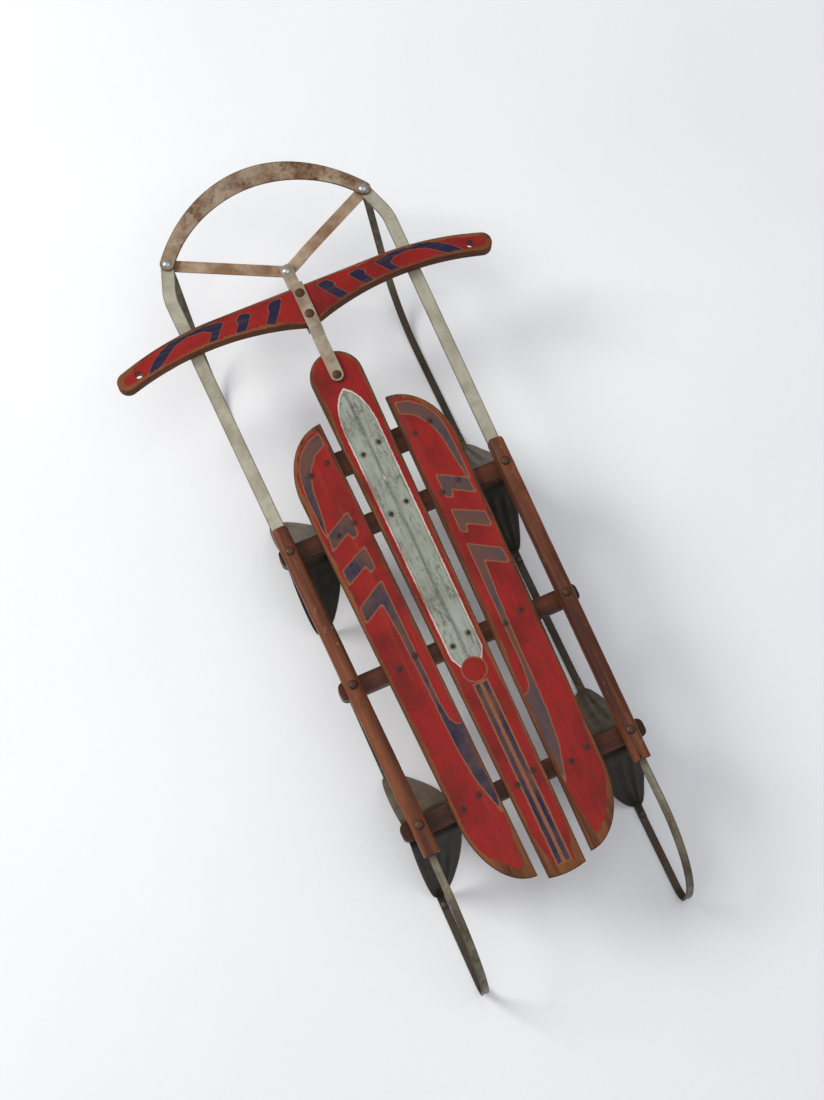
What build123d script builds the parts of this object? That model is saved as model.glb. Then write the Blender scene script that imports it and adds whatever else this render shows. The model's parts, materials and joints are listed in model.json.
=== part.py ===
"""Steerable wooden runner sled: slatted deck, side rails, steel runners and a steering bar.

+Y points forward, +Z up, +X to the rider's right. The origin is on the ground,
midway between the front of the bumper and the tails of the runners.
"""
from build123d import *
import math
import os

os.makedirs("parts", exist_ok=True)

# ---- overall sizes -------------------------------------------------------
nose_overhang = 520.5
tail_overhang = 212.5
bench_pitch = 188.5
overall_length = nose_overhang + 2 * bench_pitch + tail_overhang
nose_y = overall_length / 2
tail_y = -overall_length / 2

# ---- heights -------------------------------------------------------------
bench_seat_z = 125.5
bench_thickness = 20.0
plank_thickness = 10.0
strip_thickness = 3.0
rail_height = 17.0
bench_top_z = bench_seat_z + bench_thickness
deck_top_z = bench_top_z + plank_thickness
strip_top_z = bench_top_z + strip_thickness
rail_top_z = strip_top_z + rail_height

# ---- benches and rails ---------------------------------------------------
front_bench_y = nose_y - nose_overhang
middle_bench_y = front_bench_y - bench_pitch
rear_bench_y = tail_y + tail_overhang
bench_width = 24.0
bench_half_length = 164.0
bench_end_radius = 8.0
rail_bolt_inset = 14.0
rail_convergence = 8.0
rail_x_front = bench_half_length - rail_bolt_inset
rail_x_rear = rail_x_front - rail_convergence
rail_width = 22.0
rail_front_overhang = 36.0
rail_rear_overhang = 38.0
rail_top_round = 7.0
rail_edge_round = 2.0
rail_nose_round = 6.0
rail_taper = (rail_x_front - rail_x_rear) / (2 * bench_pitch)

# ---- deck ----------------------------------------------------------------
deck_pivot_lead = 197.0
deck_pivot_y = front_bench_y + deck_pivot_lead
centre_half_front = 35.5
centre_half_rear = 24.5
centre_end_bow = 3.0
plank_gap = 11.5
side_plank_tail = 111.5
centre_plank_tail = 120.0
side_plank_lead = 145.5
side_plank_rear_y = rear_bench_y - side_plank_tail
centre_plank_rear_y = rear_bench_y - centre_plank_tail
side_plank_front_y = front_bench_y + side_plank_lead
side_plank_half_front = 110.5
side_plank_half_rear = 98.0
side_front_curve = 85.0
side_rear_curve = 98.0
plank_edge_round = 2.0
cleat_lead = 87.5
cleat_y = front_bench_y + cleat_lead
cleat_width = 33.0
cleat_thickness = 11.0
cleat_half_length = 97.0
cleat_corner_radius = 4.0

# ---- runners -------------------------------------------------------------
runner_inset = 8.0
runner_x = rail_x_front - runner_inset
bar_width = 10.0
bar_thickness = strip_thickness
groove_width = 4.4
groove_depth = 0.9
tail_top_radius = 126.0
front_rise_radius = 150.0
front_rise_angle = 53.0
front_bend_radius = 12.0
front_bend_margin = 2.0
front_tab_end = 9.0
return_end_y = rear_bench_y + 32.0

# ---- front strips, links and bumper --------------------------------------
nose_rivet_offset = 0.5
nose_rivet_x = runner_x + nose_rivet_offset
nose_rivet_y = nose_y - 84.5
strip_width = 18.0
strip_bulge = 8.0
strip_corner_x = rail_x_front + strip_bulge
strip_corner_back = 46.0
strip_corner_radius = 70.0
strip_rear_y = middle_bench_y - 14.0
link_width = 16.0
link_thickness = 2.5
link_joggle = 2.7
link_step_start = 40.0
link_step_end = 24.0
steering_arm = 168.0
front_pivot_y = deck_pivot_y + steering_arm
flex_lead = 110.0
flex_y = front_bench_y + flex_lead
flex_gap = 2.5
bumper_end_width = 20.0
bumper_front_width = 27.0
bumper_thickness = 3.0
bumper_front_tilt = 30.0
bumper_stations = 13

# ---- steering bar --------------------------------------------------------
handlebar_thickness = 17.0
handlebar_front_y = deck_pivot_y + 134.0
handlebar_half_length = 266.5
handlebar_flat = 115.0
handlebar_sweep = 27.5
handlebar_end_depth = 30.0
handlebar_end_radius = 14.0
handlebar_middle_radius = 20.0
handlebar_neck_x = 130.0
handlebar_neck_depth = 34.0
handlebar_middle_depth = 58.5
handlebar_edge_round = 3.0
handlebar_strip_clearance = 0.5
rope_hole_x = 236.0
rope_hole_radius = 5.0
rope_hole_back = 34.5
strap_width = 17.5
strap_thickness = 3.0
strap_joggle_run = 15.0
strap_bend_radius = 6.0
bracket_corner_radius = 6.0
strap_lead = 3.0
handlebar_bolt_back_front = 12.0
handlebar_bolt_back_rear = 44.0

# ---- knees ---------------------------------------------------------------
knee_sheet = 1.6
knee_fore_reach = 88.0
knee_aft_reach = 78.0
knee_foot_length = 18.0
knee_foot_rivet_reach = 12.5
knee_top_half = 15.0
knee_bend_radius = 12.0
knee_outer_bulge = 17.0
knee_inner_bulge = 53.0
knee_neck_half = 5.0
knee_rivet_inset = 45.0

# ---- fasteners and clearances --------------------------------------------
bolt_radius = 3.0
bolt_head_radius = 6.0
bolt_head_height = 2.4
bolt_tail = 3.0
handlebar_bolt_tail = 1.0
nut_flats = 10.0
nut_height = 5.0
washer_radius = 8.5
washer_thickness = 1.4
rivet_radius = 3.0
rivet_head_radius = 6.5
rivet_head_height = 2.6
centre_rivet_radius = 2.5
foot_rivet_radius = 2.0
foot_rivet_head_radius = 4.5
foot_rivet_head_height = 2.0
nail_radius = 1.2
nail_head_radius = 2.6
nail_head_height = 0.6
nail_bite = 12.0
nail_zigzag = 4.0
side_nail_x = (60.0, 85.0)
centre_nail_x = (-12.5, 12.5)
hole_clearance = 0.12
running_clearance = 0.06
slide_clearance = 0.2
pivot_float = 1.7

# ---- derived heights of the steering stack --------------------------------
link_top_z = bench_top_z - slide_clearance
link_bottom_z = link_top_z - link_thickness
tab_top_z = link_bottom_z - slide_clearance
tab_centre_z = tab_top_z - bar_thickness / 2
bumper_bottom_z = strip_top_z + slide_clearance
bumper_top_z = bumper_bottom_z + bumper_thickness
handlebar_bottom_z = strip_top_z + handlebar_strip_clearance
handlebar_top_z = handlebar_bottom_z + handlebar_thickness
bracket_bottom_z = handlebar_bottom_z - strap_thickness
strap_deck_z = deck_top_z + washer_thickness + running_clearance
knee_top_z = bench_seat_z
low_z = -20.0
high_z = 220.0
tall = high_z - low_z

SIDES = ((-1, "left"), (1, "right"))


def rail_x(y):
    """Distance of the side rail's middle from the centre line at a given y."""
    return rail_x_front - rail_taper * (front_bench_y - y)


def centre_half(y):
    """Half width of the centre plank, which narrows towards the tail."""
    share = (deck_pivot_y - y) / (deck_pivot_y - centre_plank_rear_y)
    return centre_half_front + (centre_half_rear - centre_half_front) * share


def drill(points, radius, bottom=low_z, top=high_z):
    """Cut round vertical holes in the part being built."""
    for x, y in points:
        with Locations((x, y, bottom)):
            Cylinder(radius, top - bottom, align=(Align.CENTER, Align.CENTER, Align.MIN),
                     mode=Mode.SUBTRACT)


def post(x, y, bottom, top, radius):
    """Add one round vertical post to the part being built."""
    with Locations((x, y, bottom)):
        Cylinder(radius, top - bottom, align=(Align.CENTER, Align.CENTER, Align.MIN))


def dome(x, y, bottom, radius, height):
    """Add a low domed head standing on a flat face."""
    ball = (radius ** 2 + height ** 2) / (2 * height)
    with BuildSketch(Plane(origin=(x, y, bottom), x_dir=(1, 0, 0), z_dir=(0, -1, 0))) as section:
        with Locations((0, height - ball)):
            Circle(ball)
        with Locations((ball, height / 2)):
            Rectangle(2 * ball, height, mode=Mode.INTERSECT)
    revolve(section.sketch, axis=Axis((x, y, bottom), (0, 0, 1)))


def hex_nut(x, y, top, radius):
    """Add a hexagon nut hanging under the height top, bored for its bolt."""
    with BuildSketch(Plane.XY.offset(top - nut_height)) as section:
        with Locations((x, y)):
            RegularPolygon(nut_flats / 2, 6, major_radius=False)
            Circle(radius + running_clearance, mode=Mode.SUBTRACT)
    extrude(section.sketch, amount=nut_height)


def save(builder, label):
    """Label a finished piece and write it."""
    builder.part.label = label
    export_step(builder.part, f"parts/{label}.step")


# ---- where the fasteners go -----------------------------------------------
bench_rows = (("front", front_bench_y), ("middle", middle_bench_y), ("rear", rear_bench_y))
knee_rows = (bench_rows[0], bench_rows[2])
rail_bolt_points = [(side * rail_x(y), y) for side, _ in SIDES for _, y in bench_rows]
knee_rivet_points = [(side * (runner_x - knee_rivet_inset), y) for side, _ in SIDES
                     for _, y in knee_rows]
foot_offsets = (knee_fore_reach + knee_foot_rivet_reach, -knee_aft_reach - knee_foot_rivet_reach)
foot_rivet_points = [(side * runner_x, y + offset) for side, _ in SIDES for _, y in knee_rows
                     for offset in foot_offsets]
nail_rows = [cleat_y] + [y for _, y in bench_rows]


def nail_points(xs, tilt):
    """Two nails per cross member, one a little ahead of the other."""
    return [(x, y + tilt * nail_zigzag * (1 if i else -1)) for y in nail_rows
            for i, x in enumerate(xs)]


nails = {
    "left": nail_points([-x for x in side_nail_x], -1),
    "centre": nail_points(centre_nail_x, 1),
    "right": nail_points(side_nail_x, 1),
}
all_nails = nails["left"] + nails["centre"] + nails["right"]

# ---- deck planks ----------------------------------------------------------
centre_taper = math.atan((centre_half_front - centre_half_rear)
                         / (deck_pivot_y - centre_plank_rear_y))
centre_nose_radius = centre_half_front / math.cos(centre_taper)
centre_nose_y = deck_pivot_y + centre_nose_radius * (1 + math.sin(centre_taper))
with BuildPart() as deck_plank_centre:
    with BuildSketch(Plane.XY.offset(bench_top_z)):
        with BuildLine():
            Line((-centre_half_rear, centre_plank_rear_y), (-centre_half_front, deck_pivot_y))
            ThreePointArc((-centre_half_front, deck_pivot_y), (0, centre_nose_y),
                          (centre_half_front, deck_pivot_y))
            Line((centre_half_front, deck_pivot_y), (centre_half_rear, centre_plank_rear_y))
            ThreePointArc((centre_half_rear, centre_plank_rear_y),
                          (0, centre_plank_rear_y - centre_end_bow),
                          (-centre_half_rear, centre_plank_rear_y))
        make_face()
    extrude(amount=plank_thickness)
    fillet(deck_plank_centre.faces().sort_by(Axis.Z)[-1].edges(), plank_edge_round)
    drill(nails["centre"], nail_radius + hole_clearance)
    drill([(0, deck_pivot_y)], bolt_radius + hole_clearance)
save(deck_plank_centre, "deck_plank_centre")

inner_front = centre_half(side_plank_front_y) + plank_gap
inner_rear = centre_half(side_plank_rear_y) + plank_gap
shoulder_y = side_plank_front_y - side_front_curve
heel_y = side_plank_rear_y + side_rear_curve
for side, name in SIDES:
    with BuildPart() as side_plank:
        with BuildSketch(Plane.XY.offset(bench_top_z)):
            with BuildLine():
                EllipticalCenterArc((inner_front, shoulder_y),
                                    side_plank_half_front - inner_front, side_front_curve,
                                    start_angle=0, arc_size=90)
                Line((inner_front, side_plank_front_y), (inner_rear, side_plank_rear_y))
                EllipticalCenterArc((inner_rear, heel_y),
                                    side_plank_half_rear - inner_rear, side_rear_curve,
                                    start_angle=270, arc_size=90)
                Line((side_plank_half_rear, heel_y), (side_plank_half_front, shoulder_y))
            make_face()
            if side < 0:
                mirror(about=Plane.YZ, mode=Mode.REPLACE)
        extrude(amount=plank_thickness)
        fillet(side_plank.faces().sort_by(Axis.Z)[-1].edges(), plank_edge_round)
        drill(nails[name], nail_radius + hole_clearance)
    save(side_plank, f"deck_plank_{name}")

# ---- cleat and benches ------------------------------------------------------
with BuildPart() as front_cleat:
    with BuildSketch(Plane.XY.offset(bench_top_z - cleat_thickness)):
        with Locations((0, cleat_y)):
            RectangleRounded(2 * cleat_half_length, cleat_width, cleat_corner_radius)
    extrude(amount=cleat_thickness)
    drill([p for p in all_nails if abs(p[1] - cleat_y) < bench_width], nail_radius + hole_clearance)
save(front_cleat, "front_cleat")

for name, bench_y in bench_rows:
    with BuildPart() as bench:
        with BuildSketch(Plane.XY.offset(bench_seat_z)):
            with Locations((0, bench_y)):
                RectangleRounded(2 * bench_half_length, bench_width, bench_end_radius)
        extrude(amount=bench_thickness)
        drill([p for p in rail_bolt_points if p[1] == bench_y], bolt_radius + hole_clearance)
        drill([p for p in knee_rivet_points if p[1] == bench_y], rivet_radius + hole_clearance)
        drill([p for p in all_nails if abs(p[1] - bench_y) < bench_width / 2],
              nail_radius + hole_clearance, bench_top_z - nail_bite - hole_clearance)
    save(bench, f"bench_{name}")

# ---- wooden side rails --------------------------------------------------------
rail_length = 2 * bench_pitch + rail_front_overhang + rail_rear_overhang
for side, name in SIDES:
    rail_rear_y = rear_bench_y - rail_rear_overhang
    rail_start = Plane(origin=(side * rail_x(rail_rear_y), rail_rear_y, strip_top_z),
                       x_dir=(-1, side * rail_taper, 0), z_dir=(side * rail_taper, 1, 0))
    with BuildPart() as side_rail:
        with BuildSketch(rail_start) as section:
            Rectangle(rail_width, rail_height, align=(Align.CENTER, Align.MIN))
            fillet(section.vertices().group_by(Axis.Y)[0], rail_edge_round)
            fillet(section.vertices().group_by(Axis.Y)[-1], rail_top_round)
        extrude(amount=rail_length)
        fillet(side_rail.faces().sort_by(Axis.Y)[-1].edges().sort_by(Axis.Z)[-1], rail_nose_round)
        drill([p for p in rail_bolt_points if p[0] * side > 0], bolt_radius + hole_clearance)
    save(side_rail, f"side_rail_{name}")


# ---- runners ---------------------------------------------------------------------
rise = math.radians(front_rise_angle)
ground_z = bar_thickness / 2
return_z = bench_top_z + bar_thickness / 2
tail_middle_y = tail_y + bar_thickness / 2
tail_bottom_radius = return_z - ground_z - tail_top_radius
bend_y = nose_rivet_y - rivet_head_radius - front_bend_margin
tab_end_y = nose_rivet_y + front_tab_end
curve_rise = (front_bend_radius + front_rise_radius) * (1 - math.cos(rise))
slope_run = (tab_centre_z - ground_z - curve_rise) / math.tan(rise)
rise_y = bend_y - (front_bend_radius + front_rise_radius) * math.sin(rise) - slope_run


def runner_line(offset):
    """Draw the runner's side view, moved out by offset on its ground side."""
    tab_z = tab_centre_z - offset
    bend_centre = (bend_y, tab_centre_z - front_bend_radius)
    rise_centre = (rise_y, ground_z + front_rise_radius)
    low_centre = (tail_middle_y + tail_bottom_radius, ground_z + tail_bottom_radius)
    high_centre = (tail_middle_y + tail_top_radius, return_z - tail_top_radius)
    Line((tab_end_y, tab_z), (bend_y, tab_z))
    bend = CenterArc(bend_centre, front_bend_radius - offset, 90, front_rise_angle)
    curve = CenterArc(rise_centre, front_rise_radius + offset, 270, front_rise_angle)
    Line(bend @ 1, curve @ 1)
    low = CenterArc(low_centre, tail_bottom_radius + offset, 180, 90)
    Line(curve @ 0, low @ 1)
    high = CenterArc(high_centre, tail_top_radius + offset, 90, 90)
    Line(high @ 0, (return_end_y, return_z + offset))


def runner_outline(outer, inner):
    """Draw the closed side view between two offsets of the runner's line."""
    runner_line(outer)
    runner_line(inner)
    Line((tab_end_y, tab_centre_z - outer), (tab_end_y, tab_centre_z - inner))
    Line((return_end_y, return_z + outer), (return_end_y, return_z + inner))


half_bar = bar_thickness / 2
front_end_y = flex_y + flex_gap / 2
rear_end_y = flex_y - flex_gap / 2
for side, name in SIDES:
    for label, low_y, high_y in ((f"front_runner_{name}", front_end_y, nose_y),
                                 (f"runner_{name}", tail_y, rear_end_y)):
        middle_y = (low_y + high_y) / 2
        with BuildPart() as runner:
            with BuildSketch(Plane.YZ.offset(side * runner_x)):
                with BuildLine():
                    runner_outline(half_bar, -half_bar)
                make_face()
                with Locations((middle_y, 0)):
                    Rectangle(high_y - low_y, 2 * tall, mode=Mode.INTERSECT)
            extrude(amount=bar_width / 2, both=True)
            with BuildSketch(Plane.YZ.offset(side * runner_x)):
                with BuildLine():
                    runner_outline(half_bar, half_bar - groove_depth)
                make_face()
            extrude(amount=groove_width / 2, both=True, mode=Mode.SUBTRACT)
            if low_y < rear_bench_y:
                drill([p for p in foot_rivet_points if p[0] * side > 0],
                      foot_rivet_radius + hole_clearance, low_z, bench_seat_z)
                drill([(side * rail_x(rear_bench_y), rear_bench_y)],
                      bolt_radius + hole_clearance)
            else:
                drill([(side * nose_rivet_x, nose_rivet_y)], rivet_radius + hole_clearance)
        save(runner, label)

# ---- flat strips from the rails to the nose ------------------------------------------
for side, name in SIDES:
    with BuildSketch(Plane.XY.offset(bench_top_z)) as strip_plan:
        with BuildLine():
            FilletPolyline((side * rail_x(strip_rear_y), strip_rear_y),
                           (side * strip_corner_x, nose_rivet_y - strip_corner_back),
                           (side * nose_rivet_x, nose_rivet_y), radius=strip_corner_radius)
        trace(line_width=strip_width)
        with Locations((side * nose_rivet_x, nose_rivet_y)):
            Circle(strip_width / 2)
    strip_bolts = [p for p in rail_bolt_points if p[0] * side > 0 and p[1] > rear_bench_y]
    for label, low_y, high_y in ((f"front_strip_{name}", front_end_y, nose_y),
                                 (f"rail_strip_{name}", tail_y, rear_end_y)):
        with BuildPart() as strip:
            with BuildSketch(Plane.XY.offset(bench_top_z)):
                add(strip_plan.sketch)
                with Locations((0, (low_y + high_y) / 2)):
                    Rectangle(2 * bench_half_length + strip_width, high_y - low_y,
                              mode=Mode.INTERSECT)
            extrude(amount=strip_thickness)
            drill(strip_bolts, bolt_radius + hole_clearance)
            drill([(side * nose_rivet_x, nose_rivet_y)], rivet_radius + hole_clearance)
        save(strip, label)

# ---- knees: pressed steel arches between the runners and the benches -------------------
knee_foot_z = bar_thickness + knee_sheet / 2
knee_arch_z = knee_top_z - knee_sheet / 2
for row, knee_y in knee_rows:
    for side, name in SIDES:
        runner_line_x = side * runner_x
        with BuildPart() as knee:
            with BuildSketch(Plane.YZ.offset(runner_line_x)):
                with BuildLine():
                    FilletPolyline((knee_y + knee_fore_reach + knee_foot_length, knee_foot_z),
                                   (knee_y + knee_fore_reach, knee_foot_z),
                                   (knee_y + knee_top_half, knee_arch_z),
                                   (knee_y - knee_top_half, knee_arch_z),
                                   (knee_y - knee_aft_reach, knee_foot_z),
                                   (knee_y - knee_aft_reach - knee_foot_length, knee_foot_z),
                                   radius=knee_bend_radius)
                trace(line_width=knee_sheet)
            extrude(amount=knee_inner_bulge + knee_outer_bulge, both=True)
            with BuildSketch(Plane(origin=(runner_line_x, knee_y, low_z))):
                with Locations((0, (knee_fore_reach - knee_aft_reach) / 2)):
                    Rectangle(2 * knee_neck_half,
                              knee_fore_reach + knee_aft_reach + 2 * knee_foot_length)
                for bulge, across in ((knee_outer_bulge, side), (knee_inner_bulge, -side)):
                    for reach, along in ((knee_fore_reach, 1), (knee_aft_reach, -1)):
                        with BuildSketch(mode=Mode.PRIVATE) as quarter:
                            Ellipse(bulge, reach)
                            with Locations((across * bulge / 2, along * reach / 2)):
                                Rectangle(bulge, reach, mode=Mode.INTERSECT)
                        add(quarter.sketch)
            extrude(amount=tall, mode=Mode.INTERSECT)
            drill([p for p in foot_rivet_points if p[0] * side > 0],
                  foot_rivet_radius + hole_clearance)
            drill([p for p in rail_bolt_points if p[0] * side > 0], bolt_radius + hole_clearance)
            drill([p for p in knee_rivet_points if p[0] * side > 0],
                  rivet_radius + hole_clearance)
        save(knee, f"knee_{row}_{name}")

# ---- bumper: flat at its ends, tipped up in front ---------------------------------------
bumper_tilt = math.radians(bumper_front_tilt)
bumper_apex_y = nose_y - bumper_front_width / 2 * math.cos(bumper_tilt) \
    - bumper_thickness / 2 * math.sin(bumper_tilt)
bumper_sag = bumper_apex_y - nose_rivet_y
bumper_radius = (nose_rivet_x ** 2 + bumper_sag ** 2) / (2 * bumper_sag)
bumper_centre_y = bumper_apex_y - bumper_radius
bumper_half_angle = math.asin(nose_rivet_x / bumper_radius)
with BuildPart() as bumper:
    for i in range(bumper_stations):
        share = 2 * i / (bumper_stations - 1) - 1
        swell = math.cos(share * math.pi / 2) ** 2
        turn = share * bumper_half_angle
        width = bumper_end_width + (bumper_front_width - bumper_end_width) * swell
        tilt = bumper_tilt * swell
        out = Vector(math.sin(turn), math.cos(turn), 0)
        across = out * math.cos(tilt) + Vector(0, 0, 1) * math.sin(tilt)
        along = Vector(math.cos(turn), -math.sin(turn), 0)
        middle = Vector(0, bumper_centre_y, 0) + out * bumper_radius
        middle_z = bumper_bottom_z + bumper_thickness / 2 + width / 2 * math.sin(tilt)
        with BuildSketch(Plane(origin=middle + Vector(0, 0, middle_z), x_dir=across, z_dir=along)):
            Rectangle(width, bumper_thickness)
    loft()
    for side, _ in SIDES:
        post(side * nose_rivet_x, nose_rivet_y, bumper_bottom_z, bumper_top_z,
             bumper_end_width / 2)
    drill([(side * nose_rivet_x, nose_rivet_y) for side, _ in SIDES],
          rivet_radius + running_clearance)
save(bumper, "bumper")

# ---- links from the nose rivets to the steering pivot --------------------------------------
link_length = math.hypot(nose_rivet_x, nose_rivet_y - front_pivot_y)
for side, name in SIDES:
    outer = Vector(side * nose_rivet_x, nose_rivet_y, 0)
    inner = Vector(0, front_pivot_y, 0)
    inward = (inner - outer).normalized()
    middle_z = link_bottom_z + link_thickness / 2
    drop = link_joggle if side > 0 else 0
    with BuildPart() as link:
        with BuildSketch(Plane(origin=outer + Vector(0, 0, middle_z), x_dir=inward,
                               z_dir=inward.cross(Vector(0, 0, 1)))):
            with BuildLine():
                Polyline((-link_width, 0), (link_length - link_step_start, 0),
                         (link_length - link_step_end, -drop),
                         (link_length + link_width, -drop))
            trace(line_width=link_thickness)
        extrude(amount=link_width, both=True)
        with BuildSketch(Plane(origin=(outer + inner) / 2 + Vector(0, 0, low_z), x_dir=inward)):
            SlotCenterToCenter(link_length, link_width)
        extrude(amount=tall, mode=Mode.INTERSECT)
        drill([(outer.X, outer.Y)], rivet_radius + running_clearance)
        drill([(inner.X, inner.Y)], centre_rivet_radius + pivot_float)
    save(link, f"link_{name}")

# ---- steering bar ------------------------------------------------------------------------
handlebar_bolt_points = [(0, handlebar_front_y - handlebar_bolt_back_front),
                         (0, handlebar_front_y - handlebar_bolt_back_rear)]
with BuildPart() as handlebar:
    with BuildSketch(Plane(origin=(0, handlebar_front_y, handlebar_bottom_z))) as outline:
        with BuildLine():
            front_corner = (handlebar_half_length, -handlebar_sweep)
            rear_corner = (handlebar_half_length, -handlebar_sweep - handlebar_end_depth)
            Line((0, 0), (handlebar_flat, 0))
            TangentArc((handlebar_flat, 0), front_corner, tangent=(1, 0))
            Line(front_corner, rear_corner)
            ThreePointArc(rear_corner, (handlebar_neck_x, -handlebar_neck_depth),
                          (0, -handlebar_middle_depth))
            mirror(about=Plane.YZ)
        make_face()
        ends = outline.vertices().group_by(Axis.X)
        fillet(ends[0] + ends[-1], handlebar_end_radius)
        fillet(outline.vertices().sort_by(Axis.Y)[0], handlebar_middle_radius)
    extrude(amount=handlebar_thickness)
    fillet(handlebar.edges().filter_by(Plane.XY), handlebar_edge_round)
    drill([(side * rope_hole_x, handlebar_front_y - rope_hole_back) for side, _ in SIDES],
          rope_hole_radius)
    drill(handlebar_bolt_points, bolt_radius + hole_clearance)
save(handlebar, "handlebar")

strap_front_y = handlebar_front_y + strap_lead
strap_step_y = handlebar_front_y - handlebar_middle_depth - strap_thickness
strap_low_z = strap_deck_z + strap_thickness / 2
strap_high_z = handlebar_top_z + strap_thickness / 2
with BuildPart() as steering_strap:
    with BuildSketch(Plane.YZ):
        with BuildLine():
            FilletPolyline((deck_pivot_y - strap_width, strap_low_z),
                           (strap_step_y - strap_joggle_run, strap_low_z),
                           (strap_step_y, strap_high_z),
                           (strap_front_y, strap_high_z), radius=strap_bend_radius)
        trace(line_width=strap_thickness)
    extrude(amount=strap_width / 2, both=True)
    with BuildSketch(Plane.XY.offset(low_z)):
        with Locations((0, (deck_pivot_y + strap_front_y) / 2)):
            Rectangle(strap_width, strap_front_y - deck_pivot_y)
        with Locations((0, deck_pivot_y)):
            Circle(strap_width / 2)
    extrude(amount=tall, mode=Mode.INTERSECT)
    drill([(0, deck_pivot_y)], bolt_radius + running_clearance)
    drill(handlebar_bolt_points, bolt_radius + hole_clearance)
save(steering_strap, "steering_strap")

with BuildPart() as pivot_bracket:
    with BuildSketch(Plane.XY.offset(bracket_bottom_z)):
        with Locations((0, (strap_step_y + front_pivot_y) / 2)):
            Rectangle(strap_width, front_pivot_y - strap_step_y)
        with Locations((0, front_pivot_y)):
            RectangleRounded(strap_width, strap_width, bracket_corner_radius)
    extrude(amount=strap_thickness)
    drill(handlebar_bolt_points, bolt_radius + hole_clearance)
    drill([(0, front_pivot_y)], centre_rivet_radius + hole_clearance)
save(pivot_bracket, "pivot_bracket")

# ---- bolts, nuts and rivets -----------------------------------------------------------------
with BuildPart() as rail_bolts:
    for x, y in rail_bolt_points:
        post(x, y, bench_seat_z - nut_height - bolt_tail, rail_top_z, bolt_radius)
        dome(x, y, rail_top_z, bolt_head_radius, bolt_head_height)
save(rail_bolts, "rail_bolts")

with BuildPart() as rail_nuts:
    for x, y in rail_bolt_points:
        seat = bench_seat_z if y == middle_bench_y else bench_seat_z - knee_sheet
        hex_nut(x, y, seat, bolt_radius)
save(rail_nuts, "rail_nuts")

with BuildPart() as knee_rivets:
    for x, y in knee_rivet_points:
        post(x, y, bench_seat_z - knee_sheet - rivet_head_height, bench_top_z, rivet_radius)
        post(x, y, bench_seat_z - knee_sheet - rivet_head_height, bench_seat_z - knee_sheet,
             rivet_head_radius)
save(knee_rivets, "knee_rivets")

with BuildPart() as foot_rivets:
    for x, y in foot_rivet_points:
        post(x, y, groove_depth, bar_thickness + knee_sheet, foot_rivet_radius)
        dome(x, y, bar_thickness + knee_sheet, foot_rivet_head_radius,
             foot_rivet_head_height)
save(foot_rivets, "foot_rivets")

for side, name in SIDES:
    with BuildPart() as nose_rivet:
        x, y = side * nose_rivet_x, nose_rivet_y
        tab_bottom_z = tab_top_z - bar_thickness
        post(x, y, tab_bottom_z, bumper_top_z + running_clearance, rivet_radius)
        dome(x, y, bumper_top_z + running_clearance, rivet_head_radius, rivet_head_height)
        post(x, y, tab_bottom_z - rivet_head_height, tab_bottom_z, rivet_head_radius)
    save(nose_rivet, f"nose_rivet_{name}")

with BuildPart() as centre_rivet:
    stack_bottom_z = link_bottom_z - link_joggle - slide_clearance
    post(0, front_pivot_y, stack_bottom_z, bracket_bottom_z + strap_thickness,
         centre_rivet_radius)
    dome(0, front_pivot_y, bracket_bottom_z + strap_thickness, rivet_head_radius,
         rivet_head_height)
    post(0, front_pivot_y, stack_bottom_z - rivet_head_height, stack_bottom_z,
         rivet_head_radius + pivot_float)
save(centre_rivet, "centre_rivet")

with BuildPart() as handlebar_bolts:
    for x, y in handlebar_bolt_points:
        post(x, y, bracket_bottom_z - nut_height - handlebar_bolt_tail,
             handlebar_top_z + strap_thickness, bolt_radius)
        dome(x, y, handlebar_top_z + strap_thickness, rivet_head_radius, rivet_head_height)
save(handlebar_bolts, "handlebar_bolts")

with BuildPart() as handlebar_nuts:
    for x, y in handlebar_bolt_points:
        hex_nut(x, y, bracket_bottom_z, bolt_radius)
save(handlebar_nuts, "handlebar_nuts")

strap_deck_top_z = strap_deck_z + strap_thickness + running_clearance
with BuildPart() as deck_pivot_bolt:
    post(0, deck_pivot_y, bench_top_z - nut_height - bolt_tail, strap_deck_top_z, bolt_radius)
    dome(0, deck_pivot_y, strap_deck_top_z, bolt_head_radius, bolt_head_height)
save(deck_pivot_bolt, "deck_pivot_bolt")

with BuildPart() as deck_pivot_washer:
    post(0, deck_pivot_y, deck_top_z, deck_top_z + washer_thickness, washer_radius)
    drill([(0, deck_pivot_y)], bolt_radius + hole_clearance)
save(deck_pivot_washer, "deck_pivot_washer")

with BuildPart() as deck_pivot_nut:
    hex_nut(0, deck_pivot_y, bench_top_z, bolt_radius)
save(deck_pivot_nut, "deck_pivot_nut")

for name, points in nails.items():
    with BuildPart() as plank_nails:
        for x, y in points:
            nail_end_z = bench_top_z - (cleat_thickness if abs(y - cleat_y) < bench_width
                                        else nail_bite)
            post(x, y, nail_end_z, deck_top_z, nail_radius)
            dome(x, y, deck_top_z, nail_head_radius, nail_head_height)
    save(plank_nails, f"nails_{name}")
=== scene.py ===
"""Looks of a worn wooden runner sled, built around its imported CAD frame.

Metres, +Y forward, +Z up, +X to the rider's right, as in the frame.
"""
import json
import math

import bmesh
import bpy
import numpy as np
from mathutils import Euler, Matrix, Vector, kdtree, noise


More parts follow.
